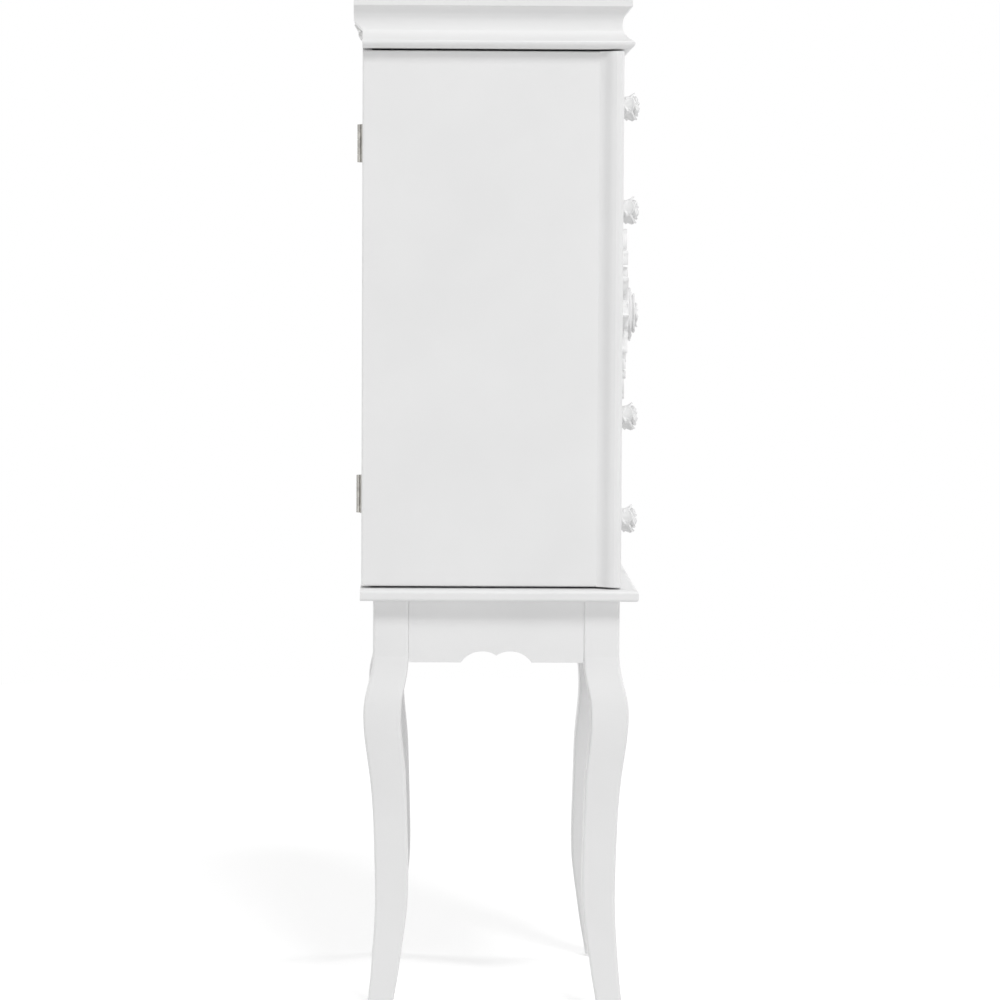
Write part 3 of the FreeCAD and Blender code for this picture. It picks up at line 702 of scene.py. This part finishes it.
@dataclass
class RoseCarving:
    """Carved rose in a wreath of leaves, sawn through at the lines between three drawers.

    Attributes:
        height: Height of the wreath.
        width: Width of the wreath.
        lift: Height of its middle over the middle of the third drawer.
        leaves: Leaves in the outer wreath.
        rose_root: Distance from the axis where the leaves start.
        short_share: Length of the leaves between the long ones.
        leaf_width: Width of the outer leaves.
        relief: Height of the outer leaves.
        slant: How much higher the upper leaves are than the middle ones.
        upper_leaf: Length, width, root height, crest and tip lift of the leaves on top.
        petal: Thickness of a petal.
        voxel: Finest feature kept under the paint.
        heart: Mound under the petals as radius and height.
        rings: Rings of petals from the outside in.
    """

    height: float = 178.0
    width: float = 156.0
    lift: float = 3.5
    leaves: int = 12
    rose_root: float = 18.0
    short_share: float = 0.86
    leaf_width: float = 24.0
    relief: float = 7.2
    slant: float = 1.0
    upper_leaf: tuple[float, ...] = (34.0, 16.0, 7.0, 9.2, 2.2)
    petal: float = 2.0
    voxel: float = 0.75
    heart: tuple[tuple[float, float], ...] = (
        (0, 0), (26.5, 0), (27, 8.5), (25, 12), (17, 14), (8, 16), (0, 17),
    )
    rings: tuple[PetalRing, ...] = (
        PetalRing(6, 29.0, 15.5, 13.0, 7.4, 60, 3.6, 2.2, 30),
        PetalRing(5, 24.0, 15.0, 8.5, 9.0, 47, 4.0, 2.2, 90),
        PetalRing(5, 17.0, 13.0, 4.8, 10.0, 28, 3.6, 1.8, 54),
        PetalRing(3, 10.0, 10.4, 2.0, 11.4, 6, 3.2, 1.0, 90),
    )

    def wreath(self, bm: bmesh.types.BMesh) -> None:
        """Add the outer wreath of leaves and the shorter ones on top of it."""
        for k in range(self.leaves):
            angle = 2 * math.pi * k / self.leaves
            reach = math.hypot(self.width / 2 * math.cos(angle), self.height / 2 * math.sin(angle))
            reach *= self.short_share if k % 3 else 1.0
            sway = 5.0 * math.sin(2 * angle)
            relief = self.relief + self.slant * math.sin(angle)
            length = reach - self.rose_root
            leaf = CarvedLeaf(length, self.leaf_width, relief, relief + 0.6, 1.6, sway)
            leaf.add_to(bm, self.rose_root, angle, 0.0)
        for k in range(self.leaves):
            angle = 2 * math.pi * (k + 0.5) / self.leaves
            leaf = CarvedLeaf(*self.upper_leaf, sway=-3.0 * math.sin(2 * angle), lobes=3)
            leaf.add_to(bm, self.rose_root, angle, 0.0)

    def carve(self) -> bpy.types.Mesh:
        """Carve the whole ornament in one skin.

        Returns:
            Mesh of the ornament, opening along +Z.
        """
        bm = bmesh.new()
        add_turning(bm, self.heart)
        for ring in self.rings:
            ring.add_to(bm, self.petal)
        self.wreath(bm)
        return moulded(mesh_of(bm, "rose_carving"), self.voxel, 2)

    def build(self) -> None:
        """Set the ornament on the middle drawer and saw it at the drawer lines."""
        low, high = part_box("drawer_3_front")
        whole = self.carve()
        whole.transform(facing_front(0, low.y, (low.z + high.z) / 2 + self.lift * MM))
        for row in (2, 3, 4):
            self.saw(whole, row)
        bpy.data.meshes.remove(whole)

    def saw(self, whole: bpy.types.Mesh, row: int) -> None:
        """Cut out the piece that one drawer carries.

        Args:
            whole: Mesh of the whole ornament in place.
            row: Drawer that carries the piece.
        """
        low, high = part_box(f"drawer_{row}_front")
        bm = bmesh.new()
        bm.from_mesh(whole)
        for height, way in ((low.z, -1), (high.z, 1)):
            geom = bm.verts[:] + bm.edges[:] + bm.faces[:]
            cut = bmesh.ops.bisect_plane(bm, geom=geom, plane_co=(0, 0, height), plane_no=(0, 0, way),
                                         clear_outer=True)
            rim = [item for item in cut["geom_cut"] if isinstance(item, bmesh.types.BMEdge)]
            bmesh.ops.triangle_fill(bm, use_beauty=True, edges=rim)
        bmesh.ops.recalc_face_normals(bm, faces=bm.faces)
        bmesh.ops.scale(bm, vec=(1 / MM, 1 / MM, 1 / MM), verts=bm.verts)
        piece = place(mesh_of(bm, f"rose_carving_{row}"), f"drawer_{row}", LACQUER)
        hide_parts(f"drawer_{row}_carving")


STUFFED_VELVET: dict[str, Any] = {
    "quality": 4,
    "mass": 0.25,
    "tension_stiffness": 12,
    "compression_stiffness": 8,
    "use_pressure": True,
    "uniform_pressure_force": 4,
}


@dataclass
class RingRolls:
    """Padded velvet rolls that grip rings in the tray, in millimetres.

    Attributes:
        rolls: Rolls side by side.
        slit: Share of a roll's width where the velvet dips into the slit.
        tuck: How far the ends of the rolls are tucked down.
        puff: Most that the stuffing may push the velvet out.
        sewn: Height up to which the velvet is sewn down.
        side_gap: Room left beside the pad for the stuffing's push.
        top_gap: Room left over the crests.
        underside: Height of the pad's underside over its space.
        dip: Height of the slits over the underside.
        steps: Frames of the cloth simulation.
    """

    rolls: int = 7
    slit: float = 0.86
    tuck: float = 9.0
    puff: float = 0.9
    sewn: float = 6.5
    side_gap: float = 0.6
    top_gap: float = 0.8
    underside: float = 0.2
    dip: float = 4.0
    steps: int = 16

    def build(self) -> None:
        """Sew the pad, stuff it and set it in the tray."""
        low, high = (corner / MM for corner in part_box("ring_pad"))
        bm = bmesh.new()
        verts = bmesh.ops.create_grid(bm, x_segments=52, y_segments=self.rolls * 16, size=1.0)["verts"]
        middle = (low + high) / 2
        half = (high - low) / 2 - Vector((self.side_gap, self.side_gap, 0.0))
        for vert in verts:
            vert.co = self.surface(vert.co.x, vert.co.y, low.z, high.z - self.top_gap, half.x)
            vert.co.x = middle.x + vert.co.x * half.x
            vert.co.y = middle.y + vert.co.y * half.y
        for vert in verts_in(bmesh.ops.extrude_face_region(bm, geom=bm.faces[:])["geom"]):
            vert.co.z = low.z + self.underside
        bmesh.ops.recalc_face_normals(bm, faces=bm.faces)
        mesh = mesh_of(bm, "ring_rolls")
        self.stuff(mesh, low, high)
        pad = place(mesh, "case", VELVET)
        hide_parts("ring_pad")

    def surface(self, across: float, along: float, floor: float, top: float, half: float) -> Vector:
        """Point on the upper side of the pad before it is stuffed.

        Args:
            across: Share of the rolls' half length, from -1 to 1.
            along: Share of the pad's half depth, from -1 to 1.
            floor: Height of the pad's underside.
            top: Height of the crests.
            half: Half the length of a roll.

        Returns:
            Across and along unchanged, with the height.
        """
        phase = (along + 1) / 2 * self.rolls
        spot = abs(2 * (phase - math.floor(phase)) - 1)
        crown = math.sqrt(max(0.0, 1 - (spot * self.slit) ** 2))
        end = max(0.0, (abs(across) * half - (half - self.tuck)) / self.tuck)
        fall = math.sqrt(max(0.0, 1 - end * end))
        low = floor + self.dip
        return Vector((across, along, low + (top - low) * crown * (0.45 + 0.55 * fall)))

    def stuff(self, mesh: bpy.types.Mesh, low: Vector, high: Vector) -> None:
        """Press the velvet out with the foam under it, by a short cloth simulation.

        Args:
            mesh: Mesh of the pad in metres, which is changed.
            low: Lowest corner of the space for the pad, in millimetres.
            high: Highest corner of that space.
        """
        holder = bpy.data.objects.new("stuffing", mesh)
        bpy.context.scene.collection.objects.link(holder)
        pins = holder.vertex_groups.new(name="sewn")
        floor = low.z * MM
        sewn = [v.index for v in mesh.vertices if v.co.z < floor + self.sewn * MM]
        pins.add(sewn, 1.0, "REPLACE")
        cloth = holder.modifiers.new("velvet", "CLOTH")
        for name, value in STUFFED_VELVET.items():
            setattr(cloth.settings, name, value)
        cloth.settings.effector_weights.gravity = 0
        cloth.settings.vertex_group_mass = pins.name
        cloth.point_cache.frame_start = 1
        cloth.point_cache.frame_end = self.steps
        rest = [v.co.copy() for v in mesh.vertices]
        scene = bpy.context.scene
        for step in range(1, self.steps + 1):
            scene.frame_set(step)
        shown = holder.evaluated_get(bpy.context.evaluated_depsgraph_get())
        moved = [v.co.copy() for v in shown.data.vertices]
        bpy.data.objects.remove(holder)
        scene.frame_set(1)
        for vert, start, end in zip(mesh.vertices, rest, moved):
            push = end - start
            push *= min(1.0, self.puff * MM / max(push.length, 1e-9))
            spot = start + push
            inside = [min(max(spot[i], low[i] * MM), high[i] * MM) for i in range(3)]
            vert.co = Vector(inside)


@dataclass
class VelvetLining:
    """Velvet glued to the bottom and walls of a compartment, in millimetres.

    Attributes:
        name: Name of the piece.
        body: Body that carries it.
        rests_on: Node that it is glued to; not used.
        low: Lowest corner of the compartment.
        high: Corner at the top of the lined walls.
        pile: Thickness of cloth and glue.
        fold: Radius of the folds along the bottom.
    """

    name: str
    body: str
    rests_on: str
    low: Vector
    high: Vector
    pile: float = 0.9
    fold: float = 1.6

    def build(self) -> None:
        """Fold the cloth into the compartment."""
        bm = bmesh.new()
        inset = Vector((self.pile, self.pile, self.pile))
        low = self.low + inset
        high = self.high - Vector((self.pile, self.pile, 0))
        bmesh.ops.create_cube(bm, size=1.0)
        bmesh.ops.scale(bm, vec=high - low, verts=bm.verts)
        bmesh.ops.translate(bm, vec=(low + high) / 2, verts=bm.verts)
        lid = [face for face in bm.faces if face.normal.z > 0.5]
        bmesh.ops.delete(bm, geom=lid, context="FACES_ONLY")
        folds = [edge for edge in bm.edges if not edge.is_boundary]
        bmesh.ops.bevel(bm, geom=folds, offset=self.fold, offset_type="OFFSET", segments=3, profile=0.5,
                        affect="EDGES", material=-1)
        bmesh.ops.recalc_face_normals(bm, faces=bm.faces)
        bmesh.ops.reverse_faces(bm, faces=bm.faces)
        bmesh.ops.solidify(bm, geom=bm.faces[:], thickness=self.pile * 0.9)
        bmesh.ops.recalc_face_normals(bm, faces=bm.faces)
        cloth = place(mesh_of(bm, self.name), self.body, VELVET)


@dataclass
class Linings:
    """Velvet in the five drawers and in the open cells of the tray, in millimetres.

    Attributes:
        board: Thickness of a drawer's sides and back.
        bottom_top: Height of a drawer's bottom over the box's lower edge.
        bare: Strip of bare wood left along the top of the walls.
        tray_wall: Height of the lined walls in the tray.
        divider: Thickness of the tray's dividers.
        pad_gap: Gap between the ring rolls and the divider beside them.
    """

    board: float = 9.0
    bottom_top: float = 10.0
    bare: float = 4.0
    tray_wall: float = 14.0
    divider: float = 4.0
    pad_gap: float = 0.4

    def build(self) -> None:
        """Line the drawers and the tray."""
        for row in range(1, 6):
            low, high = (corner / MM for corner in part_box(f"drawer_{row}_box"))
            inner_low = Vector((low.x + self.board, low.y, low.z + self.bottom_top))
            inner_high = Vector((high.x - self.board, high.y - self.board, high.z - self.bare))
            drawer = f"drawer_{row}"
            VelvetLining(f"{drawer}_lining", drawer, f"{drawer}_box", inner_low, inner_high).build()
        self.line_tray()

    def line_tray(self) -> None:
        """Line the three open cells beside the ring rolls."""
        low, high = (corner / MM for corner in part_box("tray_floor"))
        pad_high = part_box("ring_pad")[1] / MM
        left = pad_high.x + self.pad_gap + self.divider
        pitch = (high.y - low.y) / 3
        for k, name in enumerate(("front", "middle", "back")):
            near = low.y + k * pitch + (self.divider / 2 if k else 0)
            far = low.y + (k + 1) * pitch - (self.divider / 2 if k < 2 else 0)
            corner = Vector((left, near, high.z))
            top = Vector((high.x, far, high.z + self.tray_wall))
            VelvetLining(f"tray_{name}_lining", "case", "tray_floor", corner, top).build()


@dataclass
class HingeScrews:
    """Countersunk screws in the leaves of the door and lid hinges, in millimetres.

    Attributes:
        head: Shape of a screw's head.
        inset: Height of a door's lower hinge over the door's lower edge.
        length: Length of a hinge.
        offset: Distance of the hinge axis from the mounting face.
        plate: Thickness of a leaf.
        reach: Distance of the screws from the hinge axis.
        end: Distance of the screws from the ends of a leaf.
        spread: Distance between the middles of the lid's two hinges.
        bevel: Slope of the lid's back edge, in degrees.
    """

    head: ScrewHead = ScrewHead(2.1, 0.5, 0.3)
    inset: float = 73.0
    length: float = 38.0
    offset: float = 2.8
    plate: float = 1.2
    reach: float = 7.2
    end: float = 6.5
    spread: float = 200.0
    bevel: float = 45.0

    def build(self) -> None:
        """Drive the screws of the doors and of the lid."""
        low, high = (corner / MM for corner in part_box("right_door_panel"))
        for side in Side:
            door = f"{side.name.lower()}_door"
            self.drive(self.door_seats(side, low, high, 1), f"{door}_screws", door)
        seats = [seat for side in Side for seat in self.door_seats(side, low, high, -1)]
        self.drive(seats, "case_door_hinge_screws", "case")
        self.drive(self.lid_seats(high.y, -1, 0.0), "case_lid_hinge_screws", "case", ENAMEL)
        self.drive(self.lid_seats(high.y, 1, self.bevel), "lid_hinge_screws", "lid", ENAMEL)

    def drive(self, seats: list[Matrix], name: str, body: str, finish: Finish = NICKEL) -> None:
        """Put one group of screws on its body.

        Args:
            seats: Place and direction of each screw.
            name: Name of the group.
            body: Body that carries it.
            finish: Finish of the heads.
        """
        bm = bmesh.new()
        for seat in seats:
            self.head.add_to(bm, seat)
        place(mesh_of(bm, name), body, finish)

    def door_seats(self, side: Side, low: Vector, high: Vector, leaf: int) -> list[Matrix]:
        """Seats of the screws in one leaf of a door's two hinges.

        Args:
            side: Door that is hung.
            low: Lowest corner of the right-hand door's panel.
            high: Highest corner of that panel.
            leaf: 1 for the door's leaf, -1 for the case's.

        Returns:
            Seats that point to the back.
        """
        seats = []
        for start in (low.z + self.inset, high.z - self.inset - self.length):
            for z in (start + self.end, start + self.length - self.end):
                x = side.value * (low.x + leaf * self.reach)
                seats.append(facing_back(x, high.y + self.plate, z))
        return seats

    def lid_seats(self, back: float, leaf: int, tilt: float) -> list[Matrix]:
        """Seats of the screws in one leaf of the lid's two hinges.

        Args:
            back: Y of the case's back plane.
            leaf: 1 for the lid's leaf, -1 for the case's.
            tilt: Tilt of the leaf about the hinge axis, in degrees.

        Returns:
            Seats that point away from the leaf.
        """
        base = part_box("crown_moulding")[1].z / MM - self.offset * math.tan(math.radians(self.bevel / 2))
        swing = Matrix.Translation((0, self.offset, 0)) @ Matrix.Rotation(math.radians(tilt), 4, "Z")
        swing = swing @ Matrix.Translation((0, -self.offset, 0))
        lying = Matrix.Rotation(-math.pi / 2, 4, "Y")
        seats = []
        for middle in (-self.spread / 2, self.spread / 2):
            for z in (self.end, self.length - self.end):
                seat = facing_back(leaf * self.reach, self.plate, z)
                put = Matrix.Translation((middle + self.length / 2, back, base))
                seats.append(put @ lying @ swing @ seat)
        return seats


@dataclass
class BackPins:
    """Panel pins that fix the back panel to the partitions and rails, in millimetres.

    Attributes:
        head: Shape of a pin's head.
        column: Distance of the two columns of pins from the middle.
        pitch: Distance between pins.
        edge: Distance of the outer pins from the panel's edges.
        row: Places of the pins between the columns.
    """

    head: ScrewHead = ScrewHead(1.6, 0.5, 0.15)
    column: float = 119.0
    pitch: float = 66.0
    edge: float = 7.0
    row: tuple[float, ...] = (-68.0, 0.0, 68.0)

    def build(self) -> None:
        """Drive the pins in two columns and two rows."""
        low, high = (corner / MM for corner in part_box("back_panel"))
        tall = high.z - low.z - 2 * self.edge
        count = round(tall / self.pitch)
        spots = []
        for k in range(count + 1):
            z = low.z + self.edge + tall * k / count
            spots += [(-self.column, z), (self.column, z)]
        for x in self.row:
            spots += [(x, low.z + self.edge), (x, high.z - self.edge)]
        bm = bmesh.new()
        for x, z in spots:
            self.head.add_to(bm, facing_back(x, high.y, z))
        place(mesh_of(bm, "back_panel_pins"), "case", ZINC)


@dataclass
class CadFinishes:
    """Finishes of the nodes that keep their CAD shape.

    Attributes:
        nodes: Object of each node.
        slots: Material slot of each node in the record.
    """

    nodes: dict[str, bpy.types.Object]
    slots: dict[str, str]

    def build(self) -> None:
        """Dress every node by its slot in the record."""
        for name, obj in self.nodes.items():
            dress(obj, FINISHES[self.slots[name]])
            LOG.info("%s: %s", name, self.slots[name])


@dataclass
class Studio:
    """Camera, lamps, white floor and white surroundings.

    Attributes:
        eye: Place of the camera in metres.
        target: Point that the camera looks at.
        lens: Focal length in millimetres on a 36 mm sensor.
        roll: Camera's roll in degrees.
        ambient: Strength of the even light from all around.
        key: Strength of the softbox high on the camera's side, in watts.
        fill: Strength of each low softbox beside the legs, in watts.
        front: Strength of the softbox before the drawers, in watts.
        back: Strength of the softbox behind the cabinet, in watts.
        softbox: Side of each softbox in metres.
    """

    eye: Vector = field(default_factory=lambda: Vector((-4.18, 0.063, 0.771)))
    target: Vector = field(default_factory=lambda: Vector((-0.18, 0.0, 0.522)))
    lens: float = 144.0
    roll: float = 0.28
    ambient: float = 0.41
    key: float = 217.0
    fill: float = 15.0
    front: float = 52.0
    back: float = 60.0
    softbox: float = 2.0

    def build(self) -> None:
        """Set up the whole studio."""
        self.camera()
        self.lamp("key_softbox", Vector((-4.4, -1.4, 6.0)), self.key)
        for name, side in (("rear", 1.7), ("front", -1.7)):
            self.lamp(f"low_{name}_softbox", Vector((-3.2, side, 0.25)), self.fill)
        self.lamp("front_softbox", Vector((1.4, -4.4, 2.4)), self.front)
        self.lamp("back_softbox", Vector((1.6, 4.2, 2.4)), self.back)
        self.floor()
        self.surroundings()
        bpy.context.scene.view_settings.view_transform = "Standard"

    def camera(self) -> None:
        """Put the camera at the photograph's place."""
        data = bpy.data.cameras.new("camera")
        data.lens = self.lens
        data.sensor_width = 36.0
        obj = bpy.data.objects.new("camera", data)
        turn = (self.target - self.eye).to_track_quat("-Z", "Y").to_matrix().to_4x4()
        roll = Matrix.Rotation(math.radians(self.roll), 4, "Z")
        obj.matrix_world = Matrix.Translation(self.eye) @ turn @ roll
        bpy.context.scene.collection.objects.link(obj)
        bpy.context.scene.camera = obj

    def lamp(self, name: str, spot: Vector, watts: float) -> None:
        """Hang one square softbox that faces the cabinet.

        Args:
            name: Name of the lamp.
            spot: Place in metres.
            watts: Power of the lamp.
        """
        data = bpy.data.lights.new(name, "AREA")
        data.size = self.softbox
        data.energy = watts
        obj = bpy.data.objects.new(name, data)
        turn = (Vector((0, 0, 0.6)) - spot).to_track_quat("-Z", "Y").to_matrix().to_4x4()
        obj.matrix_world = Matrix.Translation(spot) @ turn
        bpy.context.scene.collection.objects.link(obj)

    def seen(self, tree: bpy.types.NodeTree) -> Any:
        """Socket that is 1 for what the camera sees directly, in metal or through glass.

        Args:
            tree: Node tree of the floor or the world.

        Returns:
            The socket.
        """
        path = add_node(tree, "ShaderNodeLightPath", {})
        first = {0: path.outputs["Is Camera Ray"], 1: path.outputs["Is Glossy Ray"]}
        either = add_node(tree, "ShaderNodeMath", first, operation="MAXIMUM")
        second = {0: either.outputs["Value"], 1: path.outputs["Is Transmission Ray"]}
        return add_node(tree, "ShaderNodeMath", second, operation="MAXIMUM").outputs["Value"]

    def floor(self) -> None:
        """Lay the white floor, which keeps the cabinet's shadow."""
        bm = bmesh.new()
        bmesh.ops.create_circle(bm, cap_ends=True, segments=64, radius=3000.0)
        mesh = mesh_of(bm, "floor")
        material = bpy.data.materials.new("white_paper_sweep")
        material.use_nodes = True
        tree = material.node_tree
        tree.nodes.clear()
        paper = add_node(tree, "ShaderNodeBsdfDiffuse", {"Color": linear("#E6E6E6")})
        glow = add_node(tree, "ShaderNodeEmission", {"Strength": self.seen(tree)})
        glow.inputs["Color"].default_value = linear("#B2B2B2")
        layers = {0: paper.outputs["BSDF"], 1: glow.outputs["Emission"]}
        both = add_node(tree, "ShaderNodeAddShader", layers)
        add_node(tree, "ShaderNodeOutputMaterial", {"Surface": both.outputs["Shader"]})
        mesh.materials.append(material)
        obj = bpy.data.objects.new("floor", mesh)
        bpy.context.scene.collection.objects.link(obj)

    def surroundings(self) -> None:
        """Light the cabinet evenly from all around and show white behind it."""
        world = bpy.data.worlds.new("white_studio")
        world.use_nodes = True
        tree = world.node_tree
        tree.nodes.clear()
        ends = {"Value": self.seen(tree), "To Min": self.ambient, "To Max": 1.0}
        strength = add_node(tree, "ShaderNodeMapRange", ends)
        light = add_node(tree, "ShaderNodeBackground", {"Strength": strength.outputs["Result"]})
        light.inputs["Color"].default_value = linear("#FFFFFF")
        add_node(tree, "ShaderNodeOutputWorld", {"Surface": light.outputs["Background"]})
        bpy.context.scene.world = world


def main() -> None:
    """Build the cabinet's looks piece by piece."""
    logging.basicConfig(level=logging.INFO, format="%(message)s")
    Studio().build()
    slots = {part["node"]: part["material_slot"] for part in frame["record"]["subparts"]}
    CadFinishes(frame["nodes"], slots).build()
    for row in (1, 2, 4, 5):
        RoseKnob(row).build()
    RoseCarving().build()
    RingRolls().build()
    Linings().build()
    HingeScrews().build()
    BackPins().build()


if __name__ == "__main__":
    main()
